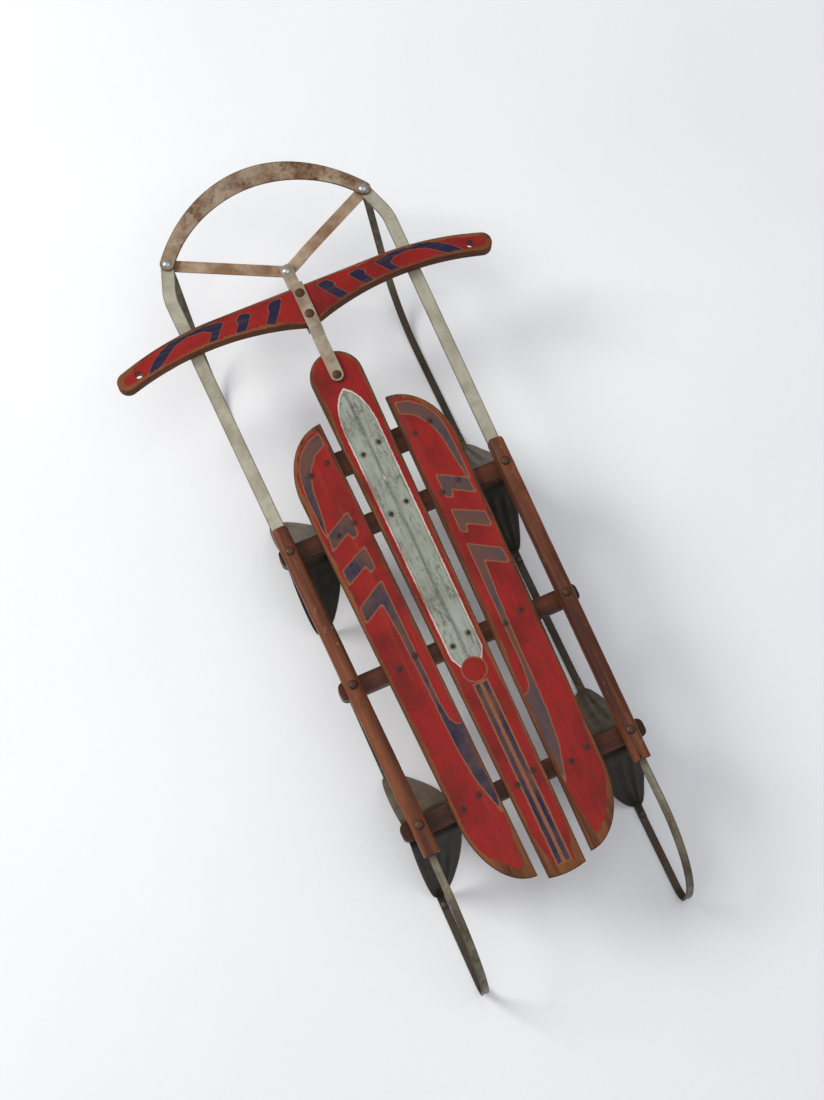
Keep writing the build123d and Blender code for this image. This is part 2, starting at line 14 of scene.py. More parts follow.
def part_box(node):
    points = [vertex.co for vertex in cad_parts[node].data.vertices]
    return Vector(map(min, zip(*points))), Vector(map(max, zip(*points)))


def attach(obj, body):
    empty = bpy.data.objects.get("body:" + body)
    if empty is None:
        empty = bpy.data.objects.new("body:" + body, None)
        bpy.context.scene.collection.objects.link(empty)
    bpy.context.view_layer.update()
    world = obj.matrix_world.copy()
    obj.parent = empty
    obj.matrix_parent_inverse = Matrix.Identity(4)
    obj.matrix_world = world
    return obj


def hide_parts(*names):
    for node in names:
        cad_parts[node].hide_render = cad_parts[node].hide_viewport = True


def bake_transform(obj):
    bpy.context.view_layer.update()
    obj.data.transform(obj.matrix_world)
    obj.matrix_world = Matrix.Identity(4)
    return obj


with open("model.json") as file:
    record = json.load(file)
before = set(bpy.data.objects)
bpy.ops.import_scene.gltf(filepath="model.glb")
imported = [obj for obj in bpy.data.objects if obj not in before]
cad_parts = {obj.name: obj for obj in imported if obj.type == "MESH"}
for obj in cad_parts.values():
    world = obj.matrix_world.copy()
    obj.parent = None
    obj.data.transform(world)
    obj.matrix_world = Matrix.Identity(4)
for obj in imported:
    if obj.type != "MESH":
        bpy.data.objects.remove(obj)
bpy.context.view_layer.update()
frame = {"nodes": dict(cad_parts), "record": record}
SIDES = ((-1, "left"), (1, "right"))


# ---- camera, light and floor ------------------------------------------------
IMAGE_HEIGHT = 1100
FOCAL_PIXELS = 1600
SENSOR = 36.0

camera_data = bpy.data.cameras.new("camera")
camera_data.sensor_width = SENSOR
camera_data.lens = FOCAL_PIXELS * SENSOR / IMAGE_HEIGHT
camera_data.clip_end = 50
camera = bpy.data.objects.new("camera", camera_data)
bpy.context.scene.collection.objects.link(camera)
camera.rotation_mode = "ZYX"
camera.rotation_euler = Euler((0.2497, -0.1409, -0.401), "ZYX")
camera.location = (-0.2917, -0.5186, 2.0960)
bpy.context.scene.camera = camera
bpy.context.scene.view_settings.view_transform = "Standard"


def area_light(name, place, target, size, power, colour=(1, 1, 1)):
    """A soft square light aimed at a point."""
    data = bpy.data.lights.new(name, "AREA")
    data.size = size
    data.energy = power
    data.color = colour
    light = bpy.data.objects.new(name, data)
    bpy.context.scene.collection.objects.link(light)
    light.location = place
    aim = Vector(target) - Vector(place)
    light.rotation_euler = aim.to_track_quat("-Z", "Y").to_euler()


area_light("window", (-2.4, 2.0, 2.6), (0, 0, 0), 1.5, 108, (1.0, 0.985, 0.96))
area_light("overhead", (0.3, -0.4, 3.6), (0, 0, 0), 3.0, 44, (0.97, 0.985, 1.0))

world = bpy.data.worlds.new("studio")
bpy.context.scene.world = world
world.use_nodes = True
world.node_tree.nodes["Background"].inputs["Color"].default_value = (0.93, 0.95, 1.0, 1)
world.node_tree.nodes["Background"].inputs["Strength"].default_value = 0.42


# ---- material kit -------------------------------------------------------------
class Kit:
    """Node helpers round one new material with a Principled shader."""

    def __init__(self, name):
        self.material = bpy.data.materials.new(name)
        self.material.use_nodes = True
        self.tree = self.material.node_tree
        self.shader = self.tree.nodes["Principled BSDF"]
        self.place = self.tree.nodes.new("ShaderNodeTexCoord").outputs["Object"]

    def node(self, kind, inputs, **settings):
        """Add a node, set its properties, and link or set its inputs."""
        made = self.tree.nodes.new(kind)
        for key, value in settings.items():
            setattr(made, key, value)
        for key, value in inputs.items():
            if isinstance(value, bpy.types.NodeSocket):
                self.tree.links.new(value, made.inputs[key])
            else:
                made.inputs[key].default_value = value
        return made

    def math(self, operation, *values):
        """One math node on sockets or numbers."""
        made = self.node("ShaderNodeMath", dict(enumerate(values)), operation=operation)
        return made.outputs[0]

    def stretch(self, scale):
        """Object coordinates scaled differently on each axis."""
        made = self.node("ShaderNodeMapping", {"Vector": self.place, "Scale": scale})
        return made.outputs[0]

    def noise(self, scale, detail=4.0, rough=0.6, place=None, distortion=0.0):
        """A noise value from 0 to 1."""
        made = self.node("ShaderNodeTexNoise", {
            "Vector": place or self.place, "Scale": scale, "Detail": detail,
            "Roughness": rough, "Distortion": distortion})
        return made.outputs["Fac"]

    def ramp(self, value, low, high, to_low=0.0, to_high=1.0):
        """Smoothly map low..high of a value to to_low..to_high."""
        made = self.node("ShaderNodeMapRange", {
            "Value": value, "From Min": low, "From Max": high,
            "To Min": to_low, "To Max": to_high}, interpolation_type="SMOOTHSTEP")
        return made.outputs[0]

    def mix(self, share, first, second):
        """Blend two colours."""
        colours = {}
        for key, value in ((6, first), (7, second)):
            if isinstance(value, bpy.types.NodeSocket):
                colours[key] = value
            else:
                colours[key] = (*value, 1)
        made = self.node("ShaderNodeMix", {0: share, **colours}, data_type="RGBA")
        return made.outputs[2]

    def part(self, axis):
        """One of the object coordinates."""
        made = self.node("ShaderNodeSeparateXYZ", {0: self.place})
        return made.outputs[axis]

    def read(self, name):
        """A named number stored on the mesh."""
        made = self.node("ShaderNodeAttribute", {}, attribute_name=name)
        return made.outputs["Fac"]

    def finish(self, colour, rough, height, distance, metallic=0.0, specular=0.5):
        """Join the results to the shader and return the material."""
        bump = self.node("ShaderNodeBump", {"Height": height, "Distance": distance,
                                            "Strength": 1.0})
        links = self.tree.links
        links.new(colour, self.shader.inputs["Base Color"])
        links.new(rough, self.shader.inputs["Roughness"])
        links.new(bump.outputs[0], self.shader.inputs["Normal"])
        self.shader.inputs["Specular IOR Level"].default_value = specular
        self.shader.inputs["Metallic"].default_value = metallic
        return self.material


BARE_WOOD = (0.185, 0.064, 0.023)
DARK_WOOD = (0.062, 0.020, 0.009)
TAN_LINE = (0.225, 0.088, 0.040)
RED_PAINT = (0.265, 0.012, 0.009)
DEEP_RED = (0.125, 0.009, 0.008)
NAVY = (0.014, 0.013, 0.038)
FADED_NAVY = (0.068, 0.048, 0.056)
FADED_BROWN = (0.118, 0.050, 0.034)
SILVER = (0.315, 0.340, 0.285)
WHITE_PAINT = (0.560, 0.500, 0.430)
OLD_DIRT = (0.105, 0.022, 0.012)
RUST = (0.150, 0.052, 0.018)
DARK_RUST = (0.052, 0.022, 0.010)


def painted_wood(name, grain_axis, fade, wear, line=0.0014, stripes=None):
    """Red paint with navy figures, worn to the wood at edges, rubs and scratches, with painted
    shade on the side walls.

    line is the width of the tan line round each figure. stripes adds a mirrored pair along Y.
    """
    kit = Kit(name)
    long_grain = [1.0, 1.0, 1.0]
    long_grain[grain_axis] = 0.055
    streak_place = kit.stretch(long_grain)
    streaks = kit.noise(340, 5, 0.65, streak_place)
    broad = kit.noise(55, 4, 0.6, streak_place)
    blotch = kit.noise(14, 5, 0.62)
    fine = kit.noise(230, 4, 0.7)
    edge = kit.read("edge")
    figure = kit.read("figure")
    if stripes:
        across = kit.math("ABSOLUTE", kit.part(0))
        inside = kit.math("SUBTRACT", kit.math("ABSOLUTE", kit.math(
            "SUBTRACT", across, stripes["middle"])), stripes["half"])
        beyond = kit.math("MAXIMUM", kit.math("SUBTRACT", stripes["rear"], kit.part(1)),
                          kit.math("SUBTRACT", kit.part(1), stripes["front"]))
        figure = kit.math("MINIMUM", figure, kit.math("MAXIMUM", inside, beyond))
    panel = kit.read("panel")
    disc = kit.read("disc")
    nail = kit.read("nail")
    shaky = kit.ramp(fine, 0.2, 0.8, -0.0006, 0.0006)
    wood = kit.mix(kit.ramp(broad, 0.35, 0.68), BARE_WOOD, DARK_WOOD)
    wood = kit.mix(kit.ramp(streaks, 0.42, 0.75, 0.0, 0.5), wood, (0.26, 0.105, 0.044))
    red = kit.mix(kit.ramp(blotch, 0.40, 0.72), RED_PAINT, DEEP_RED)
    red = kit.mix(kit.ramp(broad, 0.52, 0.80, 0.0, 0.45), red, (0.34, 0.045, 0.026))
    red = kit.mix(kit.ramp(streaks, 0.46, 0.66, 0.0, 0.42), red, DEEP_RED)
    red = kit.mix(kit.ramp(kit.noise(38, 6, 0.72), 0.50, 0.72, 0.0, 0.50), red, OLD_DIRT)
    old_navy = kit.mix(kit.ramp(blotch, 0.35, 0.62), FADED_NAVY, FADED_BROWN)
    navy = kit.mix(kit.ramp(blotch, 0.62 - 0.5 * fade, 0.92 - 0.5 * fade), NAVY, old_navy)
    navy = kit.mix(kit.ramp(streaks, 0.48, 0.68, 0.0, 0.35 + 0.25 * fade), navy, FADED_BROWN)
    figure_edge = kit.math("ADD", figure, shaky)
    paint = kit.mix(kit.ramp(figure_edge, line - 0.0003, line + 0.0005), TAN_LINE, red)
    paint = kit.mix(kit.ramp(figure_edge, -0.0003, 0.0003), navy, paint)
    panel_edge = kit.math("ADD", panel, shaky)
    flakes = kit.ramp(kit.noise(210, 6, 0.78, kit.stretch((1, 0.35, 1))), 0.50, 0.60)
    rubs = kit.ramp(kit.noise(26, 5, 0.7), 0.40, 0.60, 0.25, 1.0)
    tarnish = kit.math("MULTIPLY", flakes, rubs)
    silver = kit.mix(kit.ramp(blotch, 0.35, 0.7), SILVER, (0.235, 0.245, 0.195))
    silver = kit.mix(kit.ramp(streaks, 0.44, 0.66, 0.0, 0.45), silver, (0.150, 0.150, 0.125))
    silver = kit.mix(kit.math("MULTIPLY", tarnish, 0.70), silver, (0.085, 0.072, 0.058))
    rim = kit.ramp(panel_edge, -0.0030, -0.0008, 0.0, 0.7)
    silver = kit.mix(rim, silver, (0.075, 0.066, 0.058))
    white = kit.mix(kit.ramp(blotch, 0.42, 0.66, 0.05, 0.9), WHITE_PAINT, TAN_LINE)
    paint = kit.mix(kit.ramp(panel_edge, 0.0007, 0.0012), white, paint)
    paint = kit.mix(kit.ramp(panel_edge, -0.0014, -0.0008), silver, paint)
    disc_edge = kit.math("ADD", disc, shaky)
    paint = kit.mix(kit.ramp(disc_edge, 0.0004, 0.0009, 1.0, 0.0), paint, TAN_LINE)
    paint = kit.mix(kit.ramp(disc_edge, -0.0012, -0.0007, 1.0, 0.0), paint, red)
    reach = kit.ramp(kit.noise(17, 4, 0.65), 0.3, 0.75, 0.0021, 0.0021 + 0.0075 * wear)
    rub = kit.math("MULTIPLY", kit.read("rub"), kit.ramp(blotch, 0.3, 0.7, 0.6, 1.3))
    worn_edge = kit.math("SUBTRACT", kit.math("ADD", reach, rub), edge)
    bare = kit.ramp(kit.math("ADD", worn_edge, kit.math("MULTIPLY", shaky, 2.0)),
                    -0.0008, 0.0010)
    scratch = kit.math("MULTIPLY", kit.ramp(streaks, 0.66, 0.72),
                       kit.ramp(blotch, 0.45, 0.60, 0.0, 0.75))
    bare = kit.math("MAXIMUM", bare, scratch)
    colour = kit.mix(bare, paint, wood)
    grime = kit.math("MULTIPLY", kit.ramp(nail, 0.0024, 0.0068, 0.85, 0.0),
                     kit.ramp(fine, 0.25, 0.65, 0.35, 1.0))
    colour = kit.mix(grime, colour, (0.035, 0.014, 0.010))
    # Painted shade: the side walls and the outermost rim of the top are darkened towards dark wood.
    side_wall_shade = kit.ramp(edge, 0.0, 0.0009, 0.45, 0.0)
    colour = kit.mix(side_wall_shade, colour, DARK_WOOD)
    rough = kit.ramp(bare, 0.0, 1.0, 0.46, 0.66)
    grain = kit.math("MULTIPLY", streaks, kit.ramp(bare, 0, 1, 0.35, 1.0))
    height = kit.math("ADD", grain, kit.math("MULTIPLY", bare, -0.35))
    height = kit.math("ADD", height, kit.math("MULTIPLY", tarnish, -0.15))
    return kit.finish(colour, rough, height, 0.0005, specular=0.14)


def varnished_wood(name, grain_axis, light, dark, scuffed):
    """Old varnish over long grain, with pale scuffs and dirt."""
    kit = Kit(name)
    long_grain = [1.0, 1.0, 1.0]
    long_grain[grain_axis] = 0.06
    place = kit.stretch(long_grain)
    streaks = kit.noise(300, 6, 0.7, place, 0.4)
    broad = kit.noise(48, 5, 0.6, place)
    blotch = kit.noise(17, 5, 0.65)
    chips = kit.noise(150, 5, 0.72, kit.stretch((1, 0.45, 1)))
    colour = kit.mix(kit.ramp(broad, 0.33, 0.66), light, dark)
    colour = kit.mix(kit.ramp(streaks, 0.50, 0.74, 0.0, 0.65), colour, dark)
    colour = kit.mix(kit.ramp(blotch, 0.50, 0.72, 0.0, 0.55), colour, DARK_WOOD)
    scuff = kit.math("MULTIPLY", kit.ramp(chips, 0.60, 0.70),
                     kit.ramp(blotch, 0.35, 0.55, scuffed, 0.15 * scuffed))
    colour = kit.mix(scuff, colour, (0.50, 0.30, 0.21))
    rough = kit.ramp(blotch, 0.3, 0.7, 0.36, 0.58)
    height = kit.math("ADD", kit.math("MULTIPLY", streaks, 0.5),
                      kit.math("MULTIPLY", scuff, -0.4))
    return kit.finish(colour, rough, height, 0.0005, specular=0.16)


def aged_metal(name, base, second, rust_share, roughness=0.45, metallic=0.25, spots=0.2,
               fore=None, low=None):
    """Dull coated steel with mottling, rust, dark spots and painted shade along its edges.

    fore tints the forward faces lighter with painted light, and low darkens what is near the ground
    with painted shade.
    """
    kit = Kit(name)
    cloud = kit.noise(30, 6, 0.65)
    mottle = kit.noise(190, 6, 0.72)
    grit = kit.noise(900, 3, 0.6)
    patches = kit.noise(22, 5, 0.7, kit.stretch((1, 0.6, 1)), 0.5)
    edge = kit.read("edge")
    colour = kit.mix(kit.ramp(cloud, 0.35, 0.68), base, second)
    colour = kit.mix(kit.ramp(mottle, 0.50, 0.78, 0.0, 0.45), colour, second)
    if fore:
        # Painted light: the forward faces are tinted lighter, as if lit from the front.
        sunny = kit.math("MULTIPLY", kit.read("fore"), kit.ramp(cloud, 0.25, 0.75, 1.0, 0.35))
        colour = kit.mix(sunny, colour, fore)
    if low:
        # Painted shade: darker towards the ground.
        ground_shade = kit.ramp(kit.math("ADD", kit.part(2), kit.ramp(cloud, 0.3, 0.7, -0.01, 0.01)),
                       0.012, 0.045, 0.85, 0.0)
        colour = kit.mix(ground_shade, colour, low)
    rust = kit.math("MULTIPLY", kit.ramp(patches, 0.80 - 0.5 * rust_share,
                                         1.02 - 0.5 * rust_share),
                    kit.ramp(mottle, 0.28, 0.62))
    rusty = kit.mix(kit.ramp(grit, 0.35, 0.65), RUST, DARK_RUST)
    colour = kit.mix(rust, colour, rusty)
    spot = kit.math("MULTIPLY", kit.ramp(mottle, 0.66, 0.72), spots)
    colour = kit.mix(spot, colour, (0.03, 0.022, 0.016))
    # Painted shade: darker along the side edges of bars and along the rim of the knees.
    rim = kit.math("MULTIPLY", kit.ramp(edge, 0.0004, 0.0018, 0.75, 0.0),
                   kit.ramp(mottle, 0.25, 0.55, 0.55, 1.0))
    colour = kit.mix(rim, colour, (0.050, 0.036, 0.024))
    rough = kit.math("ADD", kit.ramp(rust, 0, 1, 0, 0.28),
                     kit.ramp(mottle, 0.2, 0.8, roughness - 0.08, roughness + 0.12))
    height = kit.math("ADD", kit.math("MULTIPLY", grit, kit.ramp(rust, 0, 1, 0.15, 0.7)),
                      kit.math("MULTIPLY", mottle, 0.5))
    return kit.finish(colour, rough, height, 0.00035, metallic, 0.22)


def floor_finish():
    """Plain pale painted floor with the faintest mottling."""
    kit = Kit("floor")
    colour = kit.mix(kit.ramp(kit.noise(1.6, 4, 0.5), 0.3, 0.7),
                     (0.860, 0.865, 0.875), (0.820, 0.828, 0.842))
    rough = kit.ramp(kit.noise(5, 3), 0.2, 0.8, 0.55, 0.7)
    return kit.finish(colour, rough, kit.noise(60, 4), 0.0004)


LEFT_PAINT = painted_wood("painted_plank_left", 1, 0.68, 0.55)
RIGHT_PAINT = painted_wood("painted_plank_right", 1, 1.0, 0.55)
CENTRE_PAINT = painted_wood("painted_plank_centre", 1, 0.45, 0.45, 0.0022, {
    "middle": 0.0052, "half": 0.0029, "rear": -0.452, "front": -0.214})
BAR_PAINT = painted_wood("painted_steering_bar", 0, 0.15, 0.35, 0.0005)
RAIL_WOOD = varnished_wood("rail_varnish", 1, (0.205, 0.062, 0.024), (0.052, 0.015, 0.008), 0.55)
BENCH_WOOD = varnished_wood("bench_varnish", 0, (0.098, 0.027, 0.010), (0.030, 0.009, 0.005), 0.16)
STRIP_STEEL = aged_metal("strip_steel", (0.410, 0.382, 0.300), (0.285, 0.255, 0.185), 0.34,
                         spots=0.45)
# The runners' low colour is painted shade near the ground.
RUNNER_STEEL = aged_metal("runner_steel", (0.215, 0.190, 0.135), (0.085, 0.064, 0.040), 0.55,
                          low=(0.030, 0.020, 0.013))
# The knees' fore colour is painted light on their forward slopes.
KNEE_STEEL = aged_metal("knee_steel", (0.026, 0.018, 0.009), (0.012, 0.009, 0.005), 0.28,
                        0.42, 0.10, fore=(0.125, 0.086, 0.044))
BUMPER_STEEL = aged_metal("bumper_steel", (0.360, 0.285, 0.200), (0.190, 0.098, 0.050), 0.78)
LINK_STEEL = aged_metal("link_steel", (0.400, 0.300, 0.205), (0.220, 0.120, 0.065), 0.50)
STRAP_STEEL = aged_metal("strap_steel", (0.370, 0.315, 0.235), (0.230, 0.165, 0.110), 0.46,
                         spots=0.5)
BOLT_STEEL = aged_metal("bolt_steel", (0.105, 0.050, 0.027), (0.048, 0.024, 0.015), 0.70)
FOOT_STEEL = aged_metal("foot_rivet_steel", (0.110, 0.085, 0.050), (0.055, 0.042, 0.027), 0.30)
RIVET_STEEL = aged_metal("rivet_steel", (0.420, 0.415, 0.400), (0.300, 0.290, 0.265), 0.12,
                         0.30, 0.75, 0.1)
NAIL_STEEL = aged_metal("nail_steel", (0.040, 0.028, 0.025), (0.022, 0.014, 0.012), 0.40)


# ---- mesh kit -------------------------------------------------------------------
def store(piece, name, values):
    """Keep one number per point on a mesh for its material to read."""
    attribute = piece.data.attributes.new(name, "FLOAT", "POINT")
    attribute.data.foreach_set("value", np.asarray(values, np.float32))


def corners(piece):
    """The points of a mesh as an array."""
    return np.array([v.co for v in piece.data.vertices], float).reshape(-1, 3)


def smooth(piece, angle=35):
    """Smooth shading, kept crisp over sharp edges."""
    piece.data.shade_smooth()
    piece.data.set_sharp_from_angle(angle=math.radians(angle))


def dress(piece, material, nodes, body=None):
    """Give a finished mesh its material and its place in the frame."""
    piece.data.materials.clear()
    piece.data.materials.append(material)
    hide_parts(*nodes)
    if body:
        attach(piece, body)


def new_piece(name, mesh):
    """Put a mesh in the scene."""
    piece = bpy.data.objects.new(name, mesh)
    bpy.context.scene.collection.objects.link(piece)
    return piece


def body_of(node):
    """The CAD body that a node belongs to."""
    bodies = frame["record"]["behaviour"]["bodies"]
    return next(body for body, members in bodies.items() if node in members)


def refined(node, bevel, step=0.0, rough=0.0, seed=0):
    """A CAD node's shape with softened edges, cut into a fine grid and slightly uneven."""
    work = bmesh.new()
    work.from_mesh(frame["nodes"][node].data)
    for layer in list(work.loops.layers.uv):
        work.loops.layers.uv.remove(layer)
    bmesh.ops.remove_doubles(work, verts=work.verts, dist=2e-6)
    bmesh.ops.dissolve_limit(work, angle_limit=math.radians(1.5), verts=work.verts,
                             edges=work.edges)
    if bevel:
        sharp = [e for e in work.edges if len(e.link_faces) == 2
                 and e.calc_face_angle() > math.radians(50)]
        bmesh.ops.bevel(work, geom=sharp, offset=bevel, segments=2, profile=0.6,
                        affect="EDGES", clamp_overlap=True)
    if step:
        low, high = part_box(node)
        for axis in range(2):
            normal = Vector((axis == 0, axis == 1, 0))
            for i in range(1, int((high[axis] - low[axis]) / step) + 1):
                plane = normal * (low[axis] + (i - 0.37) * step)
                bmesh.ops.bisect_plane(work, geom=work.verts[:] + work.edges[:] + work.faces[:],
                                       plane_co=plane, plane_no=normal, dist=1e-6)
    bmesh.ops.triangulate(work, faces=[f for f in work.faces if len(f.verts) > 4])
    bmesh.ops.recalc_face_normals(work, faces=work.faces)
    work.normal_update()
    if rough:
        for v in work.verts:
            wave = noise.noise(v.co * 45 + Vector((seed, 0, 0)))
            ripple = noise.noise(v.co * 260 + Vector((0, seed, 0)))
            v.co -= v.normal * rough * (0.5 + 0.35 * wave + 0.15 * ripple)
    mesh = bpy.data.meshes.new(node + "_worn")
    work.to_mesh(mesh)
    work.free()
    piece = new_piece(node + "_worn", mesh)
    smooth(piece)
    return piece


def loose_centres(node):
    """Plan middles of the separate solids in a node that holds several."""
    found = []
    for point in corners(frame["nodes"][node]):
        for group in found:
            if math.hypot(point[0] - group[0][0], point[1] - group[0][1]) < 0.016:
                group.append(point)
                break
        else:
            found.append([point])
    return [((min(p[0] for p in g) + max(p[0] for p in g)) / 2,
             (min(p[1] for p in g) + max(p[1] for p in g)) / 2) for g in found]


def edge_distance(piece, holes):
    """Distance from each point to the piece's outer side walls, as seen from above."""
    points = corners(piece)
    normals = np.array([v.normal for v in piece.data.vertices]).reshape(-1, 3)
    wall = np.abs(normals[:, 2]) < 0.75
    for x, y, radius in holes:
        wall &= np.hypot(points[:, 0] - x, points[:, 1] - y) > radius
    tree = kdtree.KDTree(int(wall.sum()))
    for i, point in enumerate(points[wall]):
        tree.insert((point[0], point[1], 0), i)
    tree.balance()
    gaps = [tree.find((p[0], p[1], 0))[2] for p in points]
    return np.where(wall, 0.0, gaps)


def to_outline(points, outline):
    """Signed plan distance from points to a closed outline, negative inside."""
    outline = np.array(outline, float)
    x, y = points[:, 0], points[:, 1]
    best = np.full(len(points), 1e9)
    inside = np.zeros(len(points), bool)
    for a, b in zip(outline, np.roll(outline, -1, axis=0)):
        run = b - a
        share = np.clip(((x - a[0]) * run[0] + (y - a[1]) * run[1]) / (run @ run), 0, 1)
        best = np.minimum(best, np.hypot(x - a[0] - share * run[0], y - a[1] - share * run[1]))
        if a[1] != b[1]:
            crosses = ((a[1] > y) != (b[1] > y)) \
                & (x < a[0] + (y - a[1]) * run[0] / run[1])
            inside ^= crosses
    return np.where(inside, -best, best)


def painted(piece, figures, rubbed, panel=None, disc=None, nails=(), holes=()):
    """Store the distances that the painted finish reads. Outlines are in millimetres.

    rubbed lists (axis, start, end, reach): bare wood reaches further in from start to end.
    """
    points = corners(piece) * 1000
    points[:, 0] = np.abs(points[:, 0])
    far = np.full(len(points), 50.0)
    figure = far.copy()
    for outline in figures:
        figure = np.minimum(figure, to_outline(points, outline))
    store(piece, "figure", figure / 1000)
    store(piece, "panel", (to_outline(points, panel) if panel else far) / 1000)
    if disc:
        ring = np.hypot(points[:, 0] - disc[0], points[:, 1] - disc[1]) - disc[2]
    else:
        ring = far
    store(piece, "disc", ring / 1000)
    plain = corners(piece)
    spots = np.full(len(points), 0.05)
    for x, y in nails:
        spots = np.minimum(spots, np.hypot(plain[:, 0] - x, plain[:, 1] - y))
    store(piece, "nail", spots)
    openings = [(x, y, 0.005) for x, y in nails] + list(holes)
    store(piece, "edge", edge_distance(piece, openings))
    rub = np.zeros(len(points))
    for axis, start, end, reach in rubbed:
        share = np.clip((points[:, axis] - start) / (end - start), 0, 1)
        rub = np.maximum(rub, reach * share * share)
    store(piece, "rub", rub / 1000)


def sweep(name, centres, sides, ups, sections):
    """A closed bar through the given centres. Each section is a ring of (side, up) offsets."""
    rings = []
    for centre, side, up, section in zip(centres, sides, ups, sections):
        rings.append([Vector(centre) + Vector(side) * a + Vector(up) * b for a, b in section])
    count = len(rings[0])
    points = [p for ring in rings for p in ring]
    faces = []
    for i in range(len(rings) - 1):
        for j in range(count):
            k = (j + 1) % count
            faces.append((i * count + j, i * count + k, (i + 1) * count + k, (i + 1) * count + j))
    faces.append(tuple(range(count - 1, -1, -1)))
    faces.append(tuple((len(rings) - 1) * count + j for j in range(count)))
    mesh = bpy.data.meshes.new(name)
    mesh.from_pydata(points, [], faces)
    mesh.validate()
    work = bmesh.new()
    work.from_mesh(mesh)
    bmesh.ops.recalc_face_normals(work, faces=work.faces)
    work.to_mesh(mesh)
    work.free()
    piece = new_piece(name, mesh)
    # edge is each point's distance from the bar's side edges; the steel paints shade where it is
    # small.
    half = np.array([max(abs(a) for a, _ in section) for section in sections])
    gaps = [half[i] - abs(a) for i, section in enumerate(sections) for a, _ in section]
    store(piece, "edge", gaps)
    smooth(piece, 40)
    return piece


def bar_section(width, thickness, corner, groove=0.0, groove_width=0.0, spans=8):
    """A flat bar's section with rounded corners and an optional groove along its lower face."""
    half = width / 2
    ring = []
    for i in range(spans + 1):
        a = half - corner - (width - 2 * corner) * i / spans
        ring.append((a, thickness / 2))
    for i in range(1, 4):
        turn = math.pi / 2 + i * math.pi / 8
        ring.append((-half + corner + corner * math.cos(turn),
                     thickness / 2 - corner + corner * math.sin(turn)))
    for i in range(4):
        turn = math.pi + i * math.pi / 8
        ring.append((-half + corner + corner * math.cos(turn),
                     -thickness / 2 + corner + corner * math.sin(turn)))
    for i in range(2 * spans + 1):
        a = -half + corner + (width - 2 * corner) * i / (2 * spans)
        dip = 0.0
        if groove and abs(a) < groove_width / 2:
            dip = groove * math.cos(a / groove_width * math.pi) ** 0.6
        ring.append((a, -thickness / 2 + dip))
    for i in range(1, 4):
        turn = 1.5 * math.pi + i * math.pi / 8
        ring.append((half - corner + corner * math.cos(turn),
                     -thickness / 2 + corner + corner * math.sin(turn)))
    for i in range(4):
        turn = i * math.pi / 8
        ring.append((half - corner + corner * math.cos(turn),
                     thickness / 2 - corner + corner * math.sin(turn)))
    return ring


def arc(centre, radius, start, end, step=0.003):
    """Points on a circular arc in a plane, angles in degrees, without the first point."""
    sweep_angle = math.radians(end - start)
    count = max(4, int(abs(sweep_angle) * radius / step))
    return [(centre[0] + radius * math.cos(math.radians(start) + sweep_angle * i / count),
             centre[1] + radius * math.sin(math.radians(start) + sweep_angle * i / count))
            for i in range(1, count + 1)]


def straight(start, end, step=0.006):
    """Points on a straight run, without the first."""
    count = max(1, int(math.dist(start, end) / step))
    return [(start[0] + (end[0] - start[0]) * i / count,
             start[1] + (end[1] - start[1]) * i / count) for i in range(1, count + 1)]


def directions(points):
    """Unit directions along a plane path."""
    line = np.array(points)
    run = np.gradient(line, axis=0)
    return run / np.linalg.norm(run, axis=1)[:, None]


# ---- places taken from the frame ---------------------------------------------------
def middle(node):
    """Middle of a node's box."""
    low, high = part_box(node)
    return (low + high) / 2


bench_y = {row: middle(f"bench_{row}").y for row in ("front", "middle", "rear")}
bench_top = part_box("bench_front")[1].z
bench_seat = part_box("bench_front")[0].z
rivet = middle("nose_rivet_right")
runner_x = middle("runner_right").x
runner_low, runner_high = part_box("runner_right")
BAR = 0.003
BAR_WIDTH = 0.010
BAR_CORNER = 0.0008
STRIP_WIDTH = 0.018
KNEE_SHEET = 0.0016
KNEE_FORE, KNEE_AFT = 0.088, 0.078
KNEE_FOOT = 0.018
KNEE_TOP_HALF = 0.015
RIB_HEIGHT = 0.0016

side_figures = [
    [(54, 167), (70, 162), (86, 149), (95, 133), (99.5, 117), (101, 90), (100.5, 60),
     (100, 33), (97, 48), (94, 70), (91, 102), (84, 124), (71, 142), (54, 151)],
    [(62.5, 55), (96, 36), (99, 15), (72, 31), (69, 20), (62, 24)],
    [(61, 4.5), (98, -14), (98.5, -34), (69, -18), (66.5, -30), (60, -25)],
    [(60, -45), (97, -67), (98, -87), (70, -71), (66, -120), (63, -185), (61.5, -240),
     (60, -280), (55.5, -320), (42.5, -368), (40, -330), (40, -251), (50, -248), (55, -238),
     (57.5, -215), (58.5, -150)],
]
centre_panel = [(0, 212), (9, 203), (15, 193), (20, 178), (22.5, 158), (22.5, 140), (20.7, -172),
                (14, -186), (0, -190)]
bar_figures = [
    [(25, 357), (39, 359), (49, 350), (45, 347.5), (59, 329), (47, 324.5), (32, 345)],
    [(69, 354), (84, 357.5), (94, 350), (89, 347.5), (99, 335), (87, 330), (75.5, 345)],
    [(107, 357), (132, 361), (152, 361.5), (177, 358.5), (198, 350), (213, 339), (226, 325),
     (213, 327), (201, 332.5), (190, 341), (178, 349.5), (158, 355), (136, 354), (127, 347.5),
     (137, 335.5), (127.5, 331.5), (117, 345)],
]


# ---- wooden pieces -------------------------------------------------------------------
def plank(node, material, figures, rubbed, **art):
    """A painted board, from its CAD node's shape."""
    piece = refined(node, 0.0007, 0.0032, 0.0004, len(node))
    painted(piece, figures, rubbed, **art)
    dress(piece, material, [node], body_of(node))
    return piece


